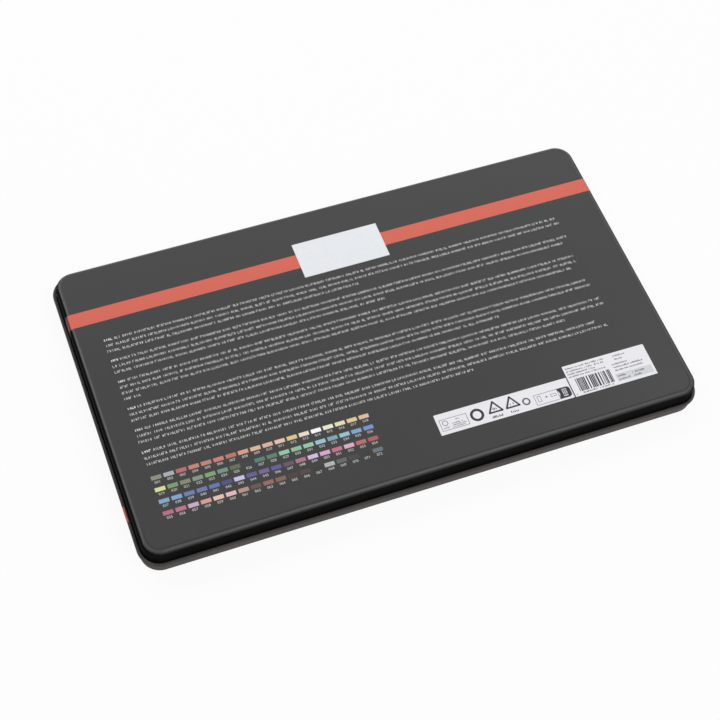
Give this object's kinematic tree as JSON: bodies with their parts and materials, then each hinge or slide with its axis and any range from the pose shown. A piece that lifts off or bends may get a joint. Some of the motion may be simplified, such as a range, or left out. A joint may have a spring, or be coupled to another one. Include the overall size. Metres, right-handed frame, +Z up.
{
  "type": "colored pencil box",
  "caption": "Flat hinged metal tin for colored pencils, with a curled-rim lid, a printed base, a foam sheet and stacked grooved trays of sharpened pencils.",
  "frame": {"origin": "middle of the lid's flat outer face, on the surface that the tin lies on", "axes": "+X along the tin's length, +Y towards the hinges, +Z up through the printed base"},
  "size_m": [0.3268, 0.1927, 0.0199],
  "materials": {
    "black_lacquer": "satin",
    "hinge_wire": "drawn",
    "white_foam": "matte",
    "tray_plastic": "satin",
    "painted_wood": "gloss paint",
    "colored_lead": "waxy",
    "label_paper": "coated paper"
  },
  "bodies": {
    "lid": {"lid_shell": "black_lacquer", "left_hinge_pin": "hinge_wire", "right_hinge_pin": "hinge_wire", "foam_sheet": "white_foam"},
    "base": {"base_pan": "black_lacquer", "bottom_tray": "tray_plastic", "top_tray": "tray_plastic", "bottom_pencils_01": "painted_wood", "bottom_pencils_02": "painted_wood", "bottom_pencils_03": "painted_wood", "bottom_pencils_04": "painted_wood", "bottom_pencils_05": "painted_wood", "bottom_pencils_06": "painted_wood", "bottom_pencils_07": "painted_wood", "bottom_pencils_08": "painted_wood", "bottom_pencils_09": "painted_wood", "bottom_pencils_10": "painted_wood", "bottom_pencils_11": "painted_wood", "bottom_pencils_12": "painted_wood", "bottom_pencils_13": "painted_wood", "bottom_pencils_14": "painted_wood", "bottom_pencils_15": "painted_wood", "bottom_pencils_16": "painted_wood", "bottom_pencils_17": "painted_wood", "bottom_pencils_18": "painted_wood", "top_pencils_01": "painted_wood", "top_pencils_02": "painted_wood", "top_pencils_03": "painted_wood", "top_pencils_04": "painted_wood", "top_pencils_05": "painted_wood", "top_pencils_06": "painted_wood", "top_pencils_07": "painted_wood", "top_pencils_08": "painted_wood", "top_pencils_09": "painted_wood", "top_pencils_10": "painted_wood", "top_pencils_11": "painted_wood", "top_pencils_12": "painted_wood", "top_pencils_13": "painted_wood", "top_pencils_14": "painted_wood", "top_pencils_15": "painted_wood", "top_pencils_16": "painted_wood", "top_pencils_17": "painted_wood", "top_pencils_18": "painted_wood", "bottom_leads": "colored_lead", "top_leads": "colored_lead", "barcode_label": "label_paper", "disposal_label": "label_paper"}
  },
  "joints": [
    {"name": "hinge", "type": "hinge", "parent": "lid", "child": "base", "pos_m": [0, 0.09545, 0.0091], "axis": [-1, 0, 0], "range_deg": [0, 110]}
  ]
}
